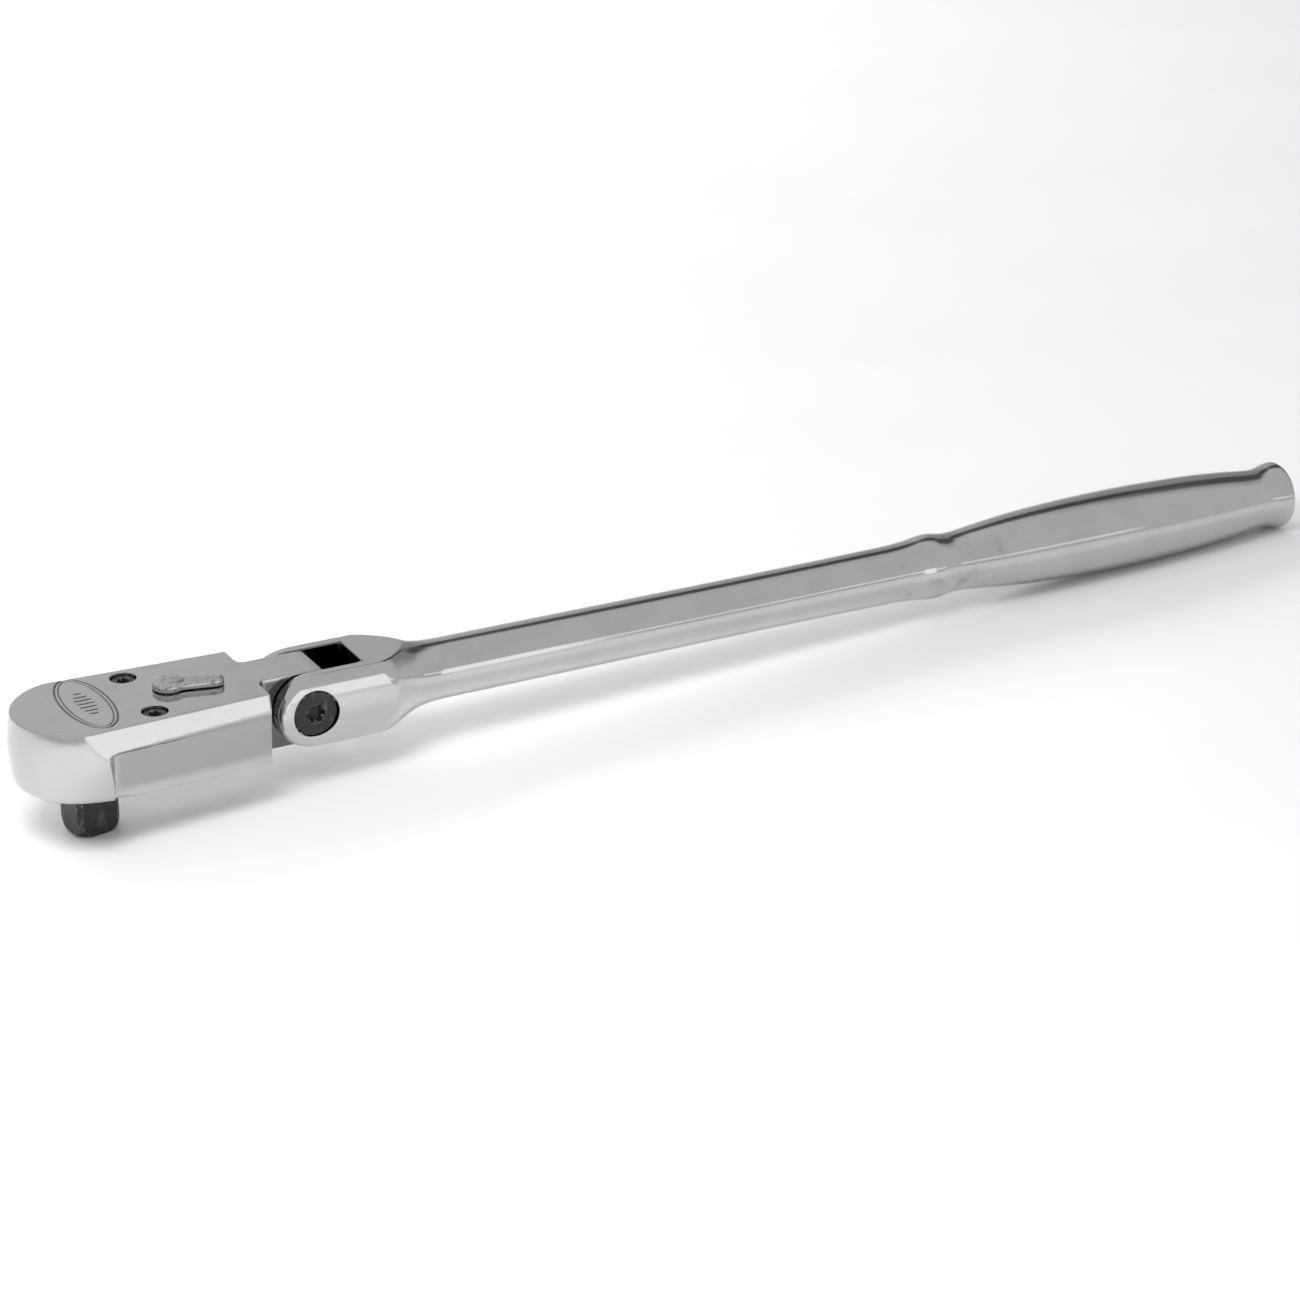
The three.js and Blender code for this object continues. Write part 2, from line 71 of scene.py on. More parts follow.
PIVOT_X, _, AXIS_Z = joint_place("flex")
LEVER_X, _, HEAD_TOP = joint_place("reverse")
HEAD_BOTTOM = node_box("head_housing")[0][2]
BARREL_RADIUS = -node_box("head_housing")[0][0]
HANDLE_END = node_box("handle")[1][0]
FORK_HALF_WIDTH = node_box("handle")[1][1]
LEVER_TOP = node_box("reverse_lever")[1][2]
SCREW_FACE = node_box("pivot_screw")[0][1]
COVER_TOP = node_box("cover_plate")[1][2]
COVER_SCREW_FACE = node_box("cover_screw_near")[1][2]
SCREW_SEAT = COVER_SCREW_FACE - 2.2
COVER_SCREWS = {
    side: sum(node_box(f"cover_screw_{side}"))[:2] / 2 for side in ("near", "far")
}


# ---- Fields ----

def meet(a, b, radius=0.0):
    """What lies in both, with a rounded edge."""
    sharp = np.maximum(a, b)
    if np.ndim(radius) == 0 and radius == 0:
        return sharp
    corner = np.hypot(np.maximum(radius + a, 0), np.maximum(radius + b, 0))
    return np.minimum(-radius, sharp) + corner


def join(a, b, radius=0.0):
    """What lies in either, with a rounded inner corner."""
    return -meet(-a, -b, radius)


def cut(a, b, radius=0.0):
    """a without b, with a rounded rim."""
    return meet(a, -b, radius)


def between(value, low, high):
    return np.maximum(low - value, value - high)


def rod(across_a, across_b, along, radius, low, high, edge=0.0):
    """A round rod about the line where both across values are zero."""
    return meet(np.hypot(across_a, across_b) - radius, between(along, low, high), edge)


def slab(x, y, half_x, half_y, corner):
    """A flat rounded rectangle, for ever tall."""
    qx = np.abs(x) - half_x + corner
    qy = np.abs(y) - half_y + corner
    return np.hypot(np.maximum(qx, 0), np.maximum(qy, 0)) + np.minimum(np.maximum(qx, qy), 0) - corner


def ease(value, low, high):
    """0 at low, 1 at high, smooth in between."""
    share = np.clip((value - low) / (high - low), 0, 1)
    return share * share * (3 - 2 * share)


def turn(x, y, degrees, centre=(0, 0)):
    """The point in the frame of something that stands turned about Z."""
    angle = math.radians(degrees)
    dx, dy = x - centre[0], y - centre[1]
    return dx * math.cos(angle) + dy * math.sin(angle), dy * math.cos(angle) - dx * math.sin(angle)


def smooth_profile(points, blur):
    """Radius as a smooth function of the distance along, through a few measured points."""
    at, radius = np.array(points, float).T
    slope = np.gradient(radius, at)
    samples = 4                 # in one blur length
    along = np.arange(at[0] - samples * blur, at[-1] + samples * blur, blur / samples)
    k = np.clip(np.searchsorted(at, along) - 1, 0, len(at) - 2)
    span = at[k + 1] - at[k]
    t = np.clip((along - at[k]) / span, 0, 1)
    curve = (
        (1 + 2 * t) * (1 - t) ** 2 * radius[k] + t * (1 - t) ** 2 * span * slope[k]
        + t * t * (3 - 2 * t) * radius[k + 1] - t * t * (1 - t) * span * slope[k + 1]
    )
    reach = 3 * samples
    weight = np.exp(-0.5 * (np.arange(-reach, reach + 1) / samples) ** 2)
    padded = np.pad(curve, reach, mode="edge")
    soft = np.convolve(padded, weight / weight.sum(), mode="valid")
    return lambda value: np.interp(value, along, soft)


# ---- Handle ----

SHANK_RADIUS = 6.58
SHANK_START = 80
FORK_END = 84                   # the fork's blank runs on a little way inside the shank
SLOT_HALF_WIDTH = 5.75
SLOT_END = 59.0
SLOT_REACH = 60                 # runs out through the fork's open end
FORK_HALF_HEIGHT = HEAD_TOP - AXIS_Z
FORK_OVAL = 13.5                # half height of the fork's oval section before its top is milled flat
PIVOT_HEAD_SEAT = 7.4
PIVOT_RECESS_RADIUS = 5.03
NEAR_EAR_BORE = 3.65
FAR_EAR_BORE = 3.1

NECK = smooth_profile([
    (56, 14), (61, 11.9), (62.6, 11.2), (64, 10.8), (65.3, 10.3), (66.5, 9.6), (68, 8.9), (70, 8),
    (72, 7.3), (74, 6.95), (76, 6.72), (78, 6.62), (SHANK_START, SHANK_RADIUS), (90, SHANK_RADIUS),
], 0.8)
GRIP = smooth_profile([
    (SHANK_START, SHANK_RADIUS), (188, SHANK_RADIUS), (192, 6.62), (195, 6.78), (197.5, 7.05), (200, 7.4),
    (202, 7.5), (204, 7.25), (206.5, 6.9), (209, 6.9), (213, 7.3), (219, 7.95), (226, 8.55), (236, 9.05),
    (247, 9.3), (257, 9.3), (267, 9.05), (277, 8.6), (286, 7.85), (290.5, 7.33), (293.5, 7.1), (295.6, 7.25),
    (297.4, 7.66), (298.6, 7.88), (303, 7.9),
], 0.6)


def forged_fork(x, y, z):
    dz = z - AXIS_Z
    oval = (np.hypot(y, dz * FORK_HALF_WIDTH / FORK_OVAL) - FORK_HALF_WIDTH) / 0.97
    tall = 1 + 0.04 * (1 - ease(x, 68, 76))
    neck = (np.hypot(y, dz / tall) - NECK(x)) / 1.1
    flats = np.abs(dz) - FORK_HALF_HEIGHT
    nose = np.hypot(x - PIVOT_X, dz) - FORK_HALF_HEIGHT
    outline = np.where(x < PIVOT_X, nose, flats)
    edge = 0.3 + 1.1 * (1 - ease(x, PIVOT_X - 5, PIVOT_X + 3))
    return meet(meet(oval, neck, 0.35), outline, edge)


def handle_field(x, y, z):
    dz = z - AXIS_Z
    grip = meet((np.hypot(y, dz) - GRIP(x)) / 1.02, x - HANDLE_END, 1.3)
    blank = join(meet(forged_fork(x, y, z), x - FORK_END), meet(grip, SHANK_START - x))
    slot = slab(x - SLOT_END + SLOT_REACH / 2, y, SLOT_REACH / 2, SLOT_HALF_WIDTH, 1.5)
    blank = cut(blank, slot, 0.3)
    dx = x - PIVOT_X
    blank = cut(blank, rod(dx, dz, y, PIVOT_RECESS_RADIUS, -PAST, -PIVOT_HEAD_SEAT), 0.3)
    blank = cut(blank, rod(dx, dz, y, NEAR_EAR_BORE, -PAST, 0))
    return cut(blank, rod(dx, dz, y, FAR_EAR_BORE, 0, PAST), 0.25)


def handle_grime(x, y, z):
    """Painted shade on the walls of the slot, where little light gets in."""
    return ease(SLOT_HALF_WIDTH + 0.35 - np.abs(y), 0, 0.3) * ease(SLOT_END + 0.35 - x, 0, 0.3)


# ---- Head ----

BLOCK_FRONT = 3                 # where the block behind the barrel starts, inside it
HEAD_REAR = 35.8
TONGUE_FRONT = 20
ROOF = 22.8                     # underside of the head's top wall
CEILING = ROOF - 1              # the upper hollows start below the roof, inside the main one
CAVITY_FLOOR = COVER_TOP - 1
TONGUE_HALF_WIDTH = 5.45
TONGUE_RADIUS = 8.4
PAWL_X = 12
PAWL_PIN_HOLE = 1.3
COVER_SCREW_HOLE = 1.65
COVER_SCREW_SINK = 2.75
BADGE_CENTRE = (0.9, 0.7)
BADGE_HALF = (5.0, 13.1)
BADGE_DEPTH = 0.16


def barrel_field(x, y, z):
    bulge = BARREL_RADIUS - 0.02 - 0.015 * (z - 19.5) ** 2
    return (np.hypot(x, y) - bulge) / 1.03


def pocket_share(x, z):
    """1 on the recessed side panel and 0 outside it, with its sloping wall in between."""
    wall = 0.75 + 0.027 * x
    down = (22.4 + 0.04 * x - z) / wall
    front = (x + 0.4) / 1.6
    return np.clip(-meet(-down, -front, 1.6), 0, 1)


def side_distance(x, z):
    """How far each side face stands from the middle plane."""
    facet = 14.1 - 0.0486 * x + 0.25 * (HEAD_TOP - z)
    panel = 12.75 - 0.04 * x + 0.075 * z
    share = pocket_share(x, z)
    return facet + (panel - facet) * share


def badge_field(x, y):
    """Two engraved ovals with a plain row of bars in the middle."""
    dx, dy = (x - BADGE_CENTRE[0]) / BADGE_HALF[0], (y - BADGE_CENTRE[1]) / BADGE_HALF[1]
    reach = np.hypot(dx, dy)
    steep = np.hypot(dx / BADGE_HALF[0], dy / BADGE_HALF[1]) / np.maximum(reach, 0.2)
    outer = (reach - 1) / steep
    lines = np.minimum(np.abs(outer) - 0.22, np.abs(outer + 0.85) - 0.16)
    mx, my = x - BADGE_CENTRE[0], y - BADGE_CENTRE[1]
    for lift in range(-3, 4):
        bar = slab(mx, my - 1.75 * lift, 1.9 - 0.12 * lift * lift, 0.36, 0.34)
        lines = np.minimum(lines, bar)
    return lines


def cover_outline(x, y, gap=0.0):
    """The cover plate's pear shape in plan."""
    front, rear, run = 12, 11.2, 22
    end, end_corner = 26.5, 4
    nose = np.hypot(x, y) - front
    slope = (front - rear) / run
    sides = (np.abs(y) - front + slope * x) * math.cos(slope)
    tail = meet(meet(sides, x - end, end_corner), -x)
    return np.minimum(nose, tail) - gap


def head_blank(x, y, z):
    block = meet(BLOCK_FRONT - x, x - HEAD_REAR)
    wide = join(barrel_field(x, y, z), block, 0.2)
    side = (np.abs(y) - side_distance(x, z)) / 1.03
    wide = meet(meet(wide, side, 0.12), x - HEAD_REAR, 0.45)
    dz = z - AXIS_Z
    nose = np.where(x < PIVOT_X, np.abs(dz) - TONGUE_RADIUS, np.hypot(x - PIVOT_X, dz) - TONGUE_RADIUS)
    tongue = meet(meet(np.abs(y) - TONGUE_HALF_WIDTH, nose, 0.3), TONGUE_FRONT - x)
    plan = join(wide, tongue, 2.2)
    topped = meet(plan, z - HEAD_TOP, 0.3)
    foot = 2.3 - 1.9 * ease(x, -3, 9)
    return meet(topped, HEAD_BOTTOM - z, foot)


def head_hollows(x, y, z):
    """The room inside the head, open to below where the cover plate goes."""
    swing = math.radians(29.5)
    wedge = np.abs(y) * math.cos(swing) - x * math.sin(swing)
    hollows = (
        meet(cover_outline(x, y, 0.15), z - COVER_TOP),
        rod(x, y, z, 10.7, CAVITY_FLOOR, ROOF),                             # gear
        rod(x, y, z, 5.15, CEILING, ROOF + 2.2),                            # the gear's upper boss
        meet(rod(x, y, z, 13.9, CAVITY_FLOOR, ROOF), wedge),                # pawl
        meet(meet(between(x, PAWL_X, 16), np.abs(y) - 3.3), between(z, CAVITY_FLOOR, ROOF)),
        rod(x - LEVER_X, y, z, 4.9, CAVITY_FLOOR, ROOF),                    # clip on the lever's stem
        rod(x - PAWL_X, y, z, PAWL_PIN_HOLE, CEILING, ROOF + 2.4),
    )
    return np.minimum.reduce(hollows)


def head_field(x, y, z):
    body = head_blank(x, y, z)
    body = cut(body, meet(badge_field(x, y), HEAD_TOP - BADGE_DEPTH - z), 0.06)
    for place in COVER_SCREWS.values():
        dx, dy = x - place[0], y - place[1]
        body = cut(body, rod(dx, dy, z, COVER_SCREW_SINK, SCREW_SEAT, PAST), 0.15)
        body = cut(body, rod(dx, dy, z, COVER_SCREW_HOLE, 0, PAST))
    body = cut(body, head_hollows(x, y, z))
    stem_hole = rod(x - LEVER_X, y, z, 3.25, CEILING, PAST)
    body = cut(body, stem_hole, 0.15)
    dx, dz = x - PIVOT_X, z - AXIS_Z
    body = cut(body, rod(dx, dz, y, 3.7, -PAST, PAST))
    washer_seats = meet(np.hypot(dx, dz) - 6.6, 4.75 - np.abs(y))
    return cut(body, washer_seats)


def head_satin(x, y, z):
    """The side panels are less polished than the rest; their colour is also darkened as painted shade,
    standing in for the shadowed floor they mirror.
    """
    return ease(pocket_share(x, z), 0, 0.5) * ease(np.abs(y), 9, 10) * ease(x, 0, 3) * ease(z, 12.4, 14.6)


def head_grime(x, y, z):
    """Painted shade in the badge's engraved lines, and on the tongue's sides where they sit in the slot."""
    lines = ease(-badge_field(x, y), -0.06, 0.1) * ease(HEAD_TOP - z, 0.03, 0.1)
    tongue = ease(x, HEAD_REAR + 0.2, HEAD_REAR + 2) * ease(HEAD_TOP - z, 0.3, 1)
    return np.maximum(lines, tongue)


def cover_field(x, y, z):
    plate = meet(cover_outline(x, y), between(z, HEAD_BOTTOM, COVER_TOP), 0.2)
    drive_hole = rod(x, y, z, 7.3, 0, PAST)
    plate = cut(plate, drive_hole, 0.25)
    seal_groove = rod(x, y, z, 8.3, 12.5, 13.7)
    plate = cut(plate, seal_groove)
    plate = cut(plate, rod(x - PAWL_X, y, z, PAWL_PIN_HOLE, 12.6, PAST))
    for place in COVER_SCREWS.values():
        plate = cut(plate, rod(x - place[0], y - place[1], z, 1.6, 0, PAST), 0.2)
    return plate


# ---- Screws ----

def lobes(a, b, middle, swing):
    """A six-lobed driver recess in plan."""
    return (np.hypot(a, b) - middle - swing * np.cos(6 * np.arctan2(b, a))) / 1.3


def cover_screw_field(place):
    def field(x, y, z):
        dx, dy = x - place[0], y - place[1]
        head = rod(dx, dy, z, 2.55, SCREW_SEAT, COVER_SCREW_FACE, 0.35)
        shank = rod(dx, dy, z, 1.5, SCREW_SEAT - 12, SCREW_SEAT + 0.5, 0.3)
        recess = meet(lobes(dx, dy, 1.3, 0.18), COVER_SCREW_FACE - 1.5 - z)
        dish = np.sqrt(dx ** 2 + dy ** 2 + (z - COVER_SCREW_FACE - 1.3) ** 2) - 1.9
        return cut(cut(np.minimum(head, shank), recess, 0.1), dish, 0.08)

    return field


PIVOT_HEAD_RADIUS = 4.83
PIVOT_SHANK_RADIUS = 3.5
PIVOT_THREAD_RADIUS = 2.9


def pivot_screw_field(x, y, z):
    dx, dz = x - PIVOT_X, z - AXIS_Z
    ring = np.hypot(dx, dz)
    crown = SCREW_FACE + 0.012 * ring ** 2 - y
    head = meet(meet(ring - PIVOT_HEAD_RADIUS, crown, 0.4), y + PIVOT_HEAD_SEAT)
    shank = rod(dx, dz, y, PIVOT_SHANK_RADIUS, -PIVOT_HEAD_SEAT - 0.5, 5.9, 0.3)
    ridge = 0.08 * np.cos((y - np.arctan2(dz, dx) / (2 * math.pi)) * 2 * math.pi)
    thread = ring - PIVOT_THREAD_RADIUS + ridge
    tail = meet(thread, between(y, 5, 9.6), 0.35)
    whole = np.minimum(np.minimum(head, shank), tail)
    recess = meet(lobes(dx, dz, 1.82, 0.3), y + 8.1)
    dish = np.sqrt(ring ** 2 + (y - SCREW_FACE + 2.2) ** 2) - 3.05
    return cut(cut(whole, recess, 0.12), dish, 0.1)


# ---- Drive ----

DRIVE_TURN = 7                  # degrees the square stands turned from the handle
DRIVE_HALF = 9.525 / 2
DRIVE_CORNER_CHAMFER = 0.93
DRIVE_TIP = smooth_profile([
    (-1, 4.5), (0, 5.1), (0.6, 5.55), (1.6, 5.95), (3, 6.3), (5, 6.5), (15, 6.6),
], 0.2)
GEAR_TEETH = 72
GEAR_BOTTOM = 14.7
GEAR_TOP = 22.0
GEAR_ROOT = 9.45
TOOTH_HEIGHT = 0.55
BALL_PLACE = (4.2, 5.0)         # distance from the drive axis, and height
BALL_RADIUS = 1.2


def drive_field(x, y, z):
    u, v = turn(x, y, DRIVE_TURN)
    square = meet(np.abs(u) - DRIVE_HALF, np.abs(v) - DRIVE_HALF)
    chamfer = (np.abs(u) + np.abs(v)) / math.sqrt(2) - (2 * DRIVE_HALF - DRIVE_CORNER_CHAMFER) / math.sqrt(2)
    tang = meet(square, chamfer, 0.12)
    tang = meet(tang, (np.hypot(u, v) - DRIVE_TIP(z)) / 1.1, 0.25)
    tang = meet(tang, between(z, 0, 14), 0.3)
    tang = cut(tang, rod(v, z - BALL_PLACE[1], u, 1.35, 1.4, 9), 0.12)
    share = np.mod(np.arctan2(v, u) / (2 * math.pi) * GEAR_TEETH, 1)
    tooth = np.clip(np.minimum(share - 0.16, 1 - share) / 0.26, 0, 1)
    wheel = meet((np.hypot(u, v) - GEAR_ROOT - TOOTH_HEIGHT * tooth) / 1.4, between(z, GEAR_BOTTOM, GEAR_TOP))
    hub = rod(u, v, z, 7, HEAD_BOTTOM, GEAR_BOTTOM + 1, 0.35)
    boss = rod(u, v, z, 5, GEAR_TOP - 1, ROOF + 2, 0.3)
    return np.minimum(np.minimum(tang, wheel), np.minimum(hub, boss))


def ball_field(x, y, z):
    u, v = turn(x, y, DRIVE_TURN)
    return np.sqrt((u - BALL_PLACE[0]) ** 2 + v ** 2 + (z - BALL_PLACE[1]) ** 2) - BALL_RADIUS


# ---- Reversing lever ----

LEVER_TURN = -16
LEVER_FOOT = HEAD_TOP + 0.2
LEVER_HUB_RADIUS = 3.42
LEVER_REACH = 11.35
PLUNGER_Z = 18.8


def lever_field(x, y, z):
    u, v = turn(x, y, LEVER_TURN, (LEVER_X, 0))
    ring = np.hypot(u, v)
    crown = z - LEVER_TOP + 0.08
    hub = meet(ring - LEVER_HUB_RADIUS, crown + 0.03 * ring ** 2, 0.9)
    half = 2.42 - 0.05 * u
    arm = meet(np.abs(v) - half, u - LEVER_REACH, 1.9)
    arm = meet(meet(arm, crown + 0.3 + 0.05 * v ** 2, 0.8), -u)
    grip = join(hub, arm, 0.3)
    grip = meet(grip, LEVER_FOOT - z, 0.25)
    height = z - HEAD_TOP
    stem = rod(u, v, height, 3, -12.3, 0.8, 0.15)
    for low, high, floor in ((-5.3, -4.5, 2.4), (-3, -1.6, 2.05)):
        stem = cut(stem, meet(floor - ring, between(height, low, high)))
    whole = np.minimum(grip, stem)
    return cut(whole, rod(v, z - PLUNGER_Z, u, 1.3, -5, 1.6))


# ---- Meshes ----

def steps(*stretches):
    """Grid positions: stretches of (start, end, step), one after another."""
    parts = [np.arange(start, end - step / 2, step) for start, end, step in stretches]
    return np.concatenate([*parts, [stretches[-1][1]]])


def surface_net(field, axes):
    """Points and four-sided faces on the zero surface of a field, over a grid with uneven steps."""
    values = field(*np.meshgrid(*axes, indexing="ij"))
    cells = np.array(values.shape) - 1
    sums = np.zeros((3, cells.prod()))
    count = np.zeros(cells.prod())
    faces = []
    for axis in range(3):
        low = np.moveaxis(values, axis, 0)[:-1]
        high = np.moveaxis(values, axis, 0)[1:]
        found = np.argwhere((low < 0) != (high < 0))
        low, high = (side[tuple(found.T)] for side in (low, high))
        order = [axis, *[other for other in range(3) if other != axis]]
        index = np.empty_like(found)
        index[:, order] = found
        crossing = np.stack([axes[k][index[:, k]] for k in range(3)])
        share = low / (low - high)
        crossing[axis] += share * (axes[axis][index[:, axis] + 1] - axes[axis][index[:, axis]])
        u, v = (axis + 1) % 3, (axis + 2) % 3
        ring = []
        for du, dv in ((1, 1), (0, 1), (0, 0), (1, 0)):
            cell = index.copy()
            cell[:, u] -= du
            cell[:, v] -= dv
            flat = np.ravel_multi_index(cell.T, cells)
            ring.append(flat)
            count += np.bincount(flat, minlength=len(count))
            for k in range(3):
                sums[k] += np.bincount(flat, weights=crossing[k], minlength=len(count))
        ring = np.stack(ring, axis=1)
        faces.append(np.where((low < 0)[:, None], ring, ring[:, ::-1]))
    used = np.flatnonzero(count)
    number = np.full(len(count), -1)
    number[used] = np.arange(len(used))
    points = (sums[:, used] / count[used]).T
    return points, number[np.concatenate(faces)]


def slope(field, points, reach=0.02):
    """The field's direction of steepest climb at each point."""
    result = np.empty_like(points)
    for k in range(3):
        ahead, behind = points.copy(), points.copy()
        ahead[:, k] += reach
        behind[:, k] -= reach
        result[:, k] = (field(*ahead.T) - field(*behind.T)) / (2 * reach)
    return result


def settle(field, points, longest):
    """Moves points the short way onto the surface."""
    for _ in range(3):
        climb = slope(field, points)
        steepness = np.maximum((climb ** 2).sum(axis=1), 0.05)
        move = -(field(*points.T) / steepness)[:, None] * climb
        length = np.linalg.norm(move, axis=1, keepdims=True)
        points = points + move * np.minimum(1, longest / np.maximum(length, 1e-9))
    return points


def edge_share(field, points, reach=0.25):
    """How sharply the surface bends outwards at each point, from 0 to 1."""
    bend = -6 * field(*points.T)
    for k in range(3):
        for sign in (-1, 1):
            moved = points.copy()
            moved[:, k] += sign * reach
            bend += field(*moved.T)
    return np.clip(bend / reach ** 2 / 4, 0, 1)


def add_attribute(mesh, name, values):
    mesh.attributes.new(name, "FLOAT", "POINT").data.foreach_set("value", values.astype(np.float32))


def make_piece(node, field, axes, body, slot_name, **shades):
    """The detailed piece that stands for a CAD node, riding on that node's body.

    Each shade is a function of a point, stored on the mesh for its material to read.
    """
    points, faces = surface_net(field, axes)
    points = settle(field, points, longest=0.15)
    normals = slope(field, points)
    normals /= np.maximum(np.linalg.norm(normals, axis=1, keepdims=True), 1e-9)
    mesh = bpy.data.meshes.new(f"{node}_detail")
    mesh.from_pydata((points * MM).tolist(), [], faces.tolist())
    mesh.polygons.foreach_set("use_smooth", np.ones(len(faces), bool))
    mesh.normals_split_custom_set_from_vertices(normals.tolist())
    add_attribute(mesh, "edge", edge_share(field, points))
    for name, shade in shades.items():
        add_attribute(mesh, name, shade(*points.T))
    mesh.materials.append(MATERIALS[slot_name])
    piece = bpy.data.objects.new(f"{node}_detail", mesh)
    bpy.context.scene.collection.objects.link(piece)
    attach(piece, body)
    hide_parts(node)


# ---- Materials ----

class Paint:
    """A material whose nodes are added one call at a time.

    Its plain color, metallic and roughness stay in force wherever no node drives them.
    """

    def __init__(self, name, color, metallic, roughness):
        self.material = bpy.data.materials.new(name)
        self.material.use_nodes = True
        self.tree = self.material.node_tree
        self.shader = self.tree.nodes["Principled BSDF"]
        self.shader.inputs["Base Color"].default_value = (*color, 1)
        self.shader.inputs["Metallic"].default_value = metallic
        self.shader.inputs["Roughness"].default_value = roughness
        self.place = self.add("ShaderNodeTexCoord").outputs["Object"]

    def add(self, kind, settings=None, **inputs):
        node = self.tree.nodes.new(kind)
        for name, value in (settings or {}).items():
            setattr(node, name, value)
        for name, value in inputs.items():
            self.put(node.inputs[name.replace("_", " ")], value)
        return node

    def put(self, socket, value):
        if isinstance(value, bpy.types.NodeSocket):
            self.tree.links.new(value, socket)
        else:
            socket.default_value = value

    def noise(self, size, detail=3.0, stretch=(1, 1, 1)):
        """Cloudy noise whose blotches are about size millimetres across."""
        scaled = self.add("ShaderNodeVectorMath", {"operation": "MULTIPLY"})
        self.put(scaled.inputs[0], self.place)
        scaled.inputs[1].default_value = stretch
        node = self.add("ShaderNodeTexNoise", Scale=1 / (size * MM), Detail=detail)
        self.put(node.inputs["Vector"], scaled.outputs[0])
        return node.outputs["Fac"]

    def ramp(self, value, low, high, start=0.0, end=1.0):
        node = self.add("ShaderNodeMapRange", {"interpolation_type": "SMOOTHSTEP"}, Value=value)
        for name, number in (("From Min", low), ("From Max", high), ("To Min", start), ("To Max", end)):
            node.inputs[name].default_value = number
        return node.outputs["Result"]

    def math(self, operation, a, b):
        node = self.add("ShaderNodeMath", {"operation": operation})
        self.put(node.inputs[0], a)
        self.put(node.inputs[1], b)
        return node.outputs[0]

    def mix(self, share, a, b):
        node = self.add("ShaderNodeMix", {"data_type": "RGBA"}, Factor=share)
        self.put(node.inputs[6], a)
        self.put(node.inputs[7], b)
        return node.outputs[2]

    def bump(self, height, strength, distance):
        node = self.add("ShaderNodeBump", Height=height, Strength=strength, Distance=distance * MM)
        self.put(self.shader.inputs["Normal"], node.outputs["Normal"])

    def attribute(self, name):
        return self.add("ShaderNodeAttribute", {"attribute_name": name}).outputs["Fac"]


def grey(value):
    return (value, value * 1.004, value * 1.01, 1)


def chrome():
    paint = Paint("chrome_plate", (0.54, 0.54, 0.54), 1.0, 0.1)
    satin = paint.attribute("satin")
    cloud = paint.ramp(paint.noise(9, 4), 0.42, 0.68)
    along = paint.add("ShaderNodeSeparateXYZ", Vector=paint.place).outputs["X"]
    rising, falling = paint.ramp(along, 176 * MM, 198 * MM), paint.ramp(along, 232 * MM, 206 * MM)
    bead = paint.math("MULTIPLY", rising, falling)
    smoke = paint.math("MULTIPLY", paint.ramp(paint.noise(4.5, 6), 0.5, 0.8), bead)
    haze = paint.math("MAXIMUM", paint.math("MULTIPLY", cloud, 0.14), smoke)
    polished = paint.mix(haze, grey(0.54), grey(0.37))
    # Painted shade: the side panels' base colour is darkened, on top of their real satin roughness.
    dulled_and_shaded = paint.mix(satin, polished, grey(0.38))
    # Painted shade: near black base colour in the slot and in the badge's engraved lines.
    grime = paint.math("MULTIPLY", paint.attribute("grime"), 0.85)
    paint.put(paint.shader.inputs["Base Color"], paint.mix(grime, dulled_and_shaded, grey(0.05)))
    polish = paint.ramp(paint.noise(14, 3), 0.3, 0.7, 0.055, 0.1)
    rough = paint.math("ADD", polish, paint.math("MULTIPLY", satin, 0.14))
    rough = paint.math("ADD", rough, paint.math("MULTIPLY", smoke, 0.12))
    paint.put(paint.shader.inputs["Roughness"], rough)
    waves = paint.noise(5, 2)
    mottle = paint.math("MULTIPLY", paint.noise(2.2, 4), paint.math("MULTIPLY", satin, 1.5))
    paint.bump(paint.math("ADD", waves, mottle), 0.35, 0.012)
    return paint.material


def black_oxide():
    paint = Paint("black_oxide", (0.02, 0.02, 0.021), 0.0, 0.35)
    paint.shader.inputs["Specular IOR Level"].default_value = 0.3
    speck = paint.ramp(paint.noise(0.5, 3), 0.45, 0.7)
    wear = paint.math("MULTIPLY", paint.ramp(paint.attribute("edge"), 0.25, 1), speck)
    scuff = paint.math("MULTIPLY", paint.ramp(paint.noise(1.6, 6, (1, 1, 0.3)), 0.55, 0.75), 0.35)
    light = paint.math("MAXIMUM", wear, scuff)
    paint.put(paint.shader.inputs["Base Color"], paint.mix(light, grey(0.018), grey(0.2)))
    paint.put(paint.shader.inputs["Roughness"], paint.ramp(paint.noise(1.2, 4), 0.3, 0.7, 0.26, 0.44))
    paint.bump(paint.noise(0.35, 4), 0.35, 0.02)
    return paint.material


def cast_zinc():
    paint = Paint("cast_zinc", (0.5, 0.5, 0.5), 1.0, 0.35)
    pits = paint.ramp(paint.noise(0.9, 6), 0.5, 0.72)
    paint.put(paint.shader.inputs["Base Color"], paint.mix(pits, grey(0.52), grey(0.26)))
    paint.put(paint.shader.inputs["Roughness"], paint.ramp(paint.noise(1.4, 4), 0.3, 0.7, 0.2, 0.36))
    lumps = paint.math("ADD", paint.noise(1.3, 3), paint.math("MULTIPLY", paint.noise(0.35, 3), 0.4))
    paint.bump(lumps, 0.4, 0.08)
    return paint.material


def spring_steel():
    paint = Paint("spring_steel", (0.42, 0.42, 0.43), 1.0, 0.3)
    tint = paint.ramp(paint.noise(1.5, 4), 0.3, 0.7)
    paint.put(paint.shader.inputs["Base Color"], paint.mix(tint, grey(0.45), grey(0.3)))
    grain = paint.noise(0.6, 3, (1, 1, 8))
    paint.put(paint.shader.inputs["Roughness"], paint.ramp(grain, 0.3, 0.7, 0.2, 0.4))
    return paint.material


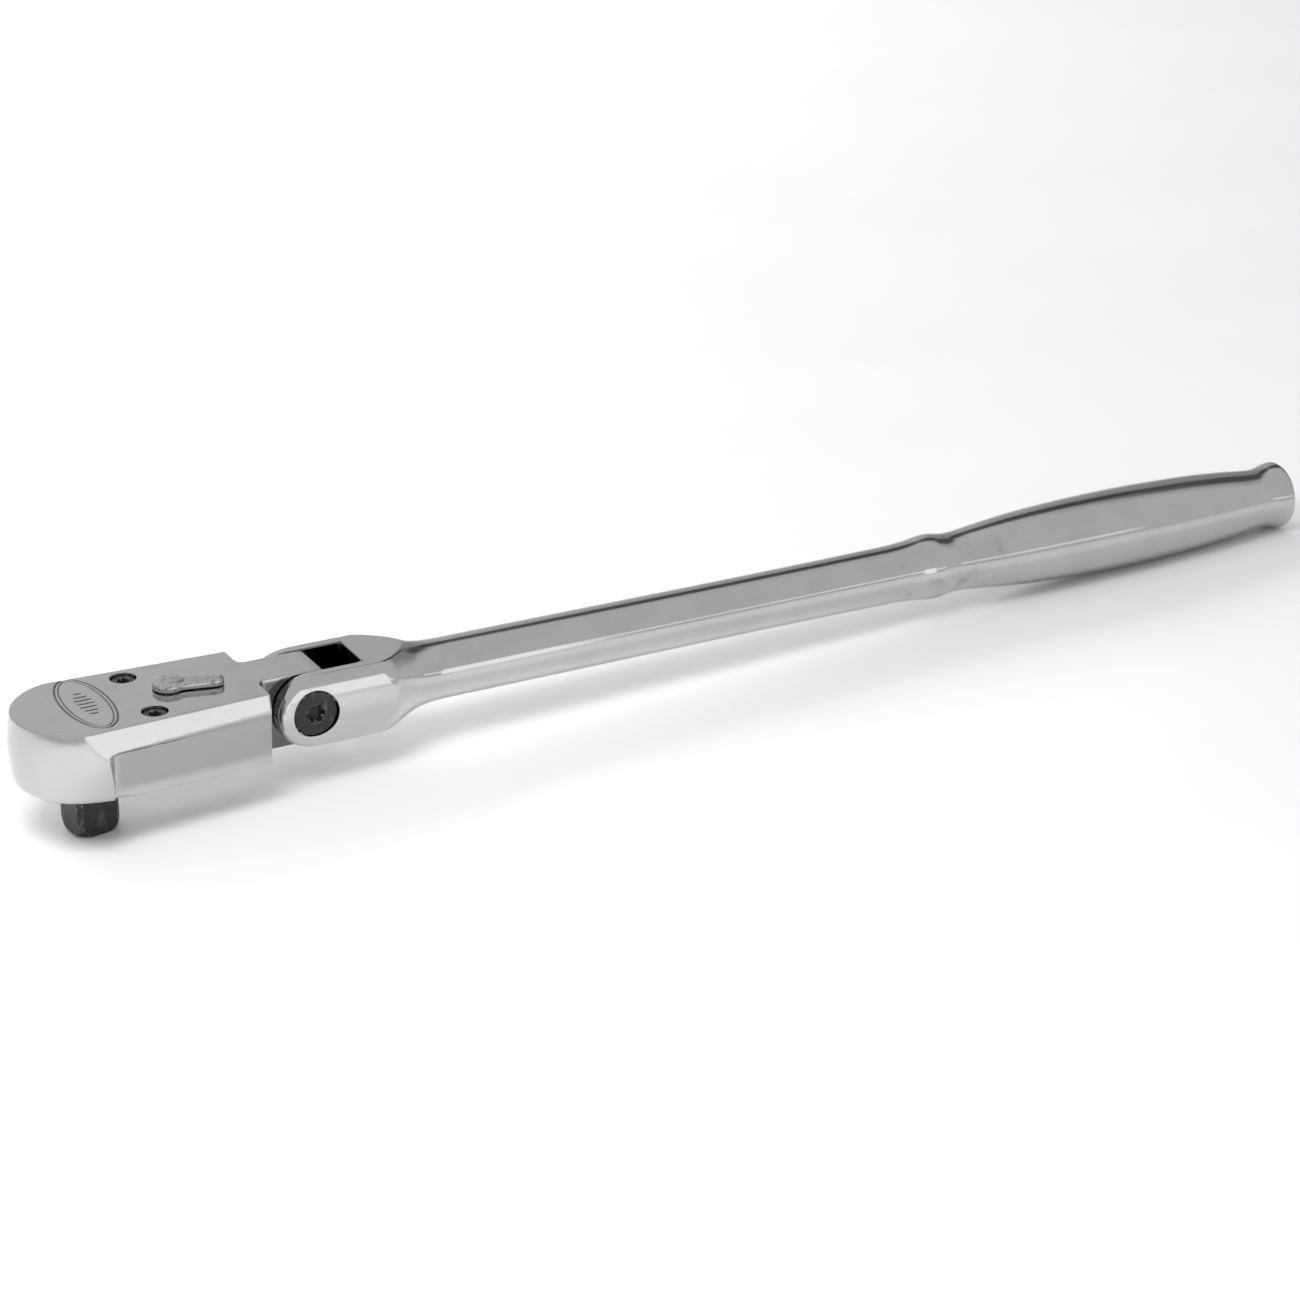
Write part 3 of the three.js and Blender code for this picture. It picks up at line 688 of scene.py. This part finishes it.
def pin_steel():
    paint = Paint("pin_steel", (0.55, 0.55, 0.56), 1.0, 0.2)
    tint = paint.ramp(paint.noise(1.2, 4), 0.4, 0.8)
    paint.put(paint.shader.inputs["Base Color"], paint.mix(tint, grey(0.56), grey(0.42)))
    paint.put(paint.shader.inputs["Roughness"], paint.ramp(paint.noise(0.5, 3), 0.3, 0.7, 0.14, 0.28))
    return paint.material


def rubber():
    paint = Paint("rubber", (0.012, 0.012, 0.012), 0.0, 0.75)
    dust = paint.ramp(paint.noise(0.7, 5), 0.5, 0.8)
    paint.put(paint.shader.inputs["Base Color"], paint.mix(dust, grey(0.012), grey(0.05)))
    paint.bump(paint.noise(0.2, 3), 0.4, 0.02)
    return paint.material


def floor_paper():
    paint = Paint("floor_paper", (0.8, 0.8, 0.8), 0.0, 0.7)
    grain = paint.ramp(paint.noise(60, 4), 0.3, 0.7)
    paint.put(paint.shader.inputs["Base Color"], paint.mix(grain, grey(0.8), grey(0.785)))
    return paint.material


MATERIALS = {
    make.__name__: make() for make in (chrome, black_oxide, cast_zinc, spring_steel, pin_steel, rubber)
}


def paint_nodes():
    """Each inner CAD node keeps its shape and takes its slot's material."""
    slots = {
        "spring_steel": ("friction_washer_near", "friction_washer_far", "gear_washer", "ball_spring",
                         "lever_clip", "plunger_spring"),
        "pin_steel": ("pawl_pin", "pawl", "plunger"),
        "rubber": ("drive_seal", "lever_o_ring"),
    }
    for slot_name, nodes in slots.items():
        for node in nodes:
            for place in frame["nodes"][node].material_slots:
                place.material = MATERIALS[slot_name]


# ---- Pieces ----

def build_pieces():
    fine = 0.22
    wide = steps((-11, 11, 0.25))
    make_piece(
        "handle", handle_field,
        (
            steps((38, 82, fine), (82, 190, 1.2), (190, 214, 0.35), (214, 289, 1), (289, 301.2, 0.15)),
            wide, wide + AXIS_Z,
        ),
        "handle", "chrome", grime=handle_grime,
    )
    make_piece(
        "head_housing", head_field,
        (
            steps((-16.2, -5, 0.25), (-5, 7, 0.12), (7, 56, 0.24)),
            steps((-16.2, 16.2, 0.2)),
            steps((10.7, 26.8, 0.24), (26.8, 27.6, 0.08)),
        ),
        "head", "chrome", satin=head_satin, grime=head_grime,
    )
    make_piece(
        "cover_plate", cover_field,
        (steps((-12.5, 27, 0.2)), steps((-12.5, 12.5, 0.2)), steps((10.9, 14.4, 0.15))),
        "head", "chrome",
    )
    for side, place in COVER_SCREWS.items():
        across = steps((-3.1, 3.1, 0.09))
        make_piece(
            f"cover_screw_{side}", cover_screw_field(place),
            (across + place[0], across + place[1], steps((12.1, 23.8, 0.5), (23.8, 26.9, 0.1))),
            "head", "black_oxide",
        )
    across = steps((-5.4, 5.4, 0.1))
    make_piece(
        "pivot_screw", pivot_screw_field,
        (across + PIVOT_X, steps((-10.2, -7, 0.1), (-7, 10, 0.2)), across + AXIS_Z),
        "handle", "black_oxide",
    )
    across = steps((-10.4, 10.4, 0.15))
    make_piece(
        "drive_gear", drive_field,
        (across, across, steps((-0.4, 15, 0.15), (15, 25.3, 0.3))),
        "drive", "black_oxide",
    )
    across = steps((-1.5, 1.5, 0.1))
    ball_x, ball_y = turn(BALL_PLACE[0], 0, -DRIVE_TURN)
    make_piece(
        "drive_ball", ball_field,
        (across + ball_x, across + ball_y, across + BALL_PLACE[1]),
        "ball", "pin_steel",
    )
    make_piece(
        "reverse_lever", lever_field,
        (steps((14.5, 31, 0.13)), steps((-7.5, 4, 0.13)), steps((14.6, 26.8, 0.4), (26.8, 29.9, 0.12))),
        "lever", "cast_zinc",
    )


# ---- Studio ----

VIEW_TARGET = Vector((130, 0, AXIS_Z)) * MM
VIEW_TURN = 27.944              # degrees the camera stands round from looking along +Y, towards -X
VIEW_RISE = 23.049
VIEW_DISTANCE = 0.76767
LENS = 96.92
FLOOR_SLOPE = 0.0383            # the wrench rests on the edge of its drive and on its grip
DRIVE_EDGE_X = 4.9 * MM
SURROUNDINGS = 0.69             # brightness of the studio all round
DARK_PATCHES = (                # azimuth, rise, inner and outer radius in degrees, and the light left over
    (62, 20, 18, 42, 0.5),
    (38, 43, 4, 13, 0.22),
    (62, 38, 5, 16, 0.3),
)


def point_light(light, target):
    light.rotation_euler = (target - light.location).to_track_quat("-Z", "Y").to_euler()


def softbox(name, place, target, size, radiance, glossy=True):
    """A rectangular light of an even brightness that the camera doesn't see."""
    data = bpy.data.lights.new(name, "AREA")
    data.shape = "RECTANGLE"
    data.size, data.size_y = size
    data.energy = radiance * math.pi * size[0] * size[1]
    light = bpy.data.objects.new(name, data)
    bpy.context.scene.collection.objects.link(light)
    light.location = place
    point_light(light, Vector(target))
    light.visible_camera = False
    light.visible_glossy = glossy


def make_floor():
    half = 4.0
    corners = [
        (x * half, y * half, FLOOR_SLOPE * (x * half - DRIVE_EDGE_X))
        for x, y in ((-1, -1), (1, -1), (1, 1), (-1, 1))
    ]
    mesh = bpy.data.meshes.new("floor")
    mesh.from_pydata(corners, [], [(0, 1, 2, 3)])
    mesh.materials.append(floor_paper())
    floor = bpy.data.objects.new("floor", mesh)
    bpy.context.scene.collection.objects.link(floor)


def make_world():
    """Even grey surroundings, darker low down behind, with a dark screen edge above that."""
    world = bpy.data.worlds.new("studio")
    bpy.context.scene.world = world
    world.use_nodes = True
    nodes, links = world.node_tree.nodes, world.node_tree.links
    direction = nodes.new("ShaderNodeTexCoord").outputs["Generated"]

    def patch(azimuth, rise, inner, outer):
        """1 in a soft round patch and 0 outside it, azimuth in degrees from +Y towards +X."""
        a, e = math.radians(azimuth), math.radians(rise)
        dot = nodes.new("ShaderNodeVectorMath")
        dot.operation = "DOT_PRODUCT"
        dot.inputs[1].default_value = (math.sin(a) * math.cos(e), math.cos(a) * math.cos(e), math.sin(e))
        links.new(direction, dot.inputs[0])
        soft = nodes.new("ShaderNodeMapRange")
        soft.interpolation_type = "SMOOTHSTEP"
        soft.inputs["From Min"].default_value = math.cos(math.radians(outer))
        soft.inputs["From Max"].default_value = math.cos(math.radians(inner))
        links.new(dot.outputs["Value"], soft.inputs["Value"])
        return soft.outputs["Result"]

    level = None
    for azimuth, rise, inner, outer, left_over in DARK_PATCHES:
        keep = nodes.new("ShaderNodeMapRange")
        keep.inputs["To Min"].default_value = 1.0
        keep.inputs["To Max"].default_value = left_over
        links.new(patch(azimuth, rise, inner, outer), keep.inputs["Value"])
        if level is None:
            level = keep.outputs["Result"]
        else:
            product = nodes.new("ShaderNodeMath")
            product.operation = "MULTIPLY"
            links.new(level, product.inputs[0])
            links.new(keep.outputs["Result"], product.inputs[1])
            level = product.outputs[0]
    links.new(level, nodes["Background"].inputs["Color"])
    nodes["Background"].inputs["Strength"].default_value = SURROUNDINGS


def make_lights():
    softbox("front_softbox", (0.095, -0.52, 0.08), (0.095, 0, 0.08), (0.52, 0.16), 0.72)
    softbox("front_strip", (0.48, -0.52, 0.105), (0.48, 0, 0.105), (0.25, 0.05), 0.4)
    softbox("key", (0.0, 0.85, 0.5), (0.1, 0, 0), (0.9, 0.4), 5.5, glossy=False)
    softbox("head_lamp", (-0.12, -0.16, 0.4), (-0.03, -0.05, 0), (0.2, 0.2), 11, glossy=False)
    softbox("top", (0.2, 0.1, 1.5), (0.2, 0, 0), (1.8, 1.8), 0.15, glossy=False)


def make_camera():
    a, e = math.radians(VIEW_TURN), math.radians(VIEW_RISE)
    ahead = Vector((math.sin(a) * math.cos(e), math.cos(a) * math.cos(e), -math.sin(e)))
    data = bpy.data.cameras.new("camera")
    data.lens = LENS
    data.shift_y = -0.02
    data.clip_start = 0.01
    data.clip_end = 20
    camera = bpy.data.objects.new("camera", data)
    bpy.context.scene.collection.objects.link(camera)
    camera.location = VIEW_TARGET - VIEW_DISTANCE * ahead
    camera.rotation_euler = ahead.to_track_quat("-Z", "Y").to_euler()
    bpy.context.scene.camera = camera


build_pieces()
paint_nodes()
make_floor()
make_world()
make_lights()
make_camera()
bpy.context.scene.view_settings.view_transform = "Standard"
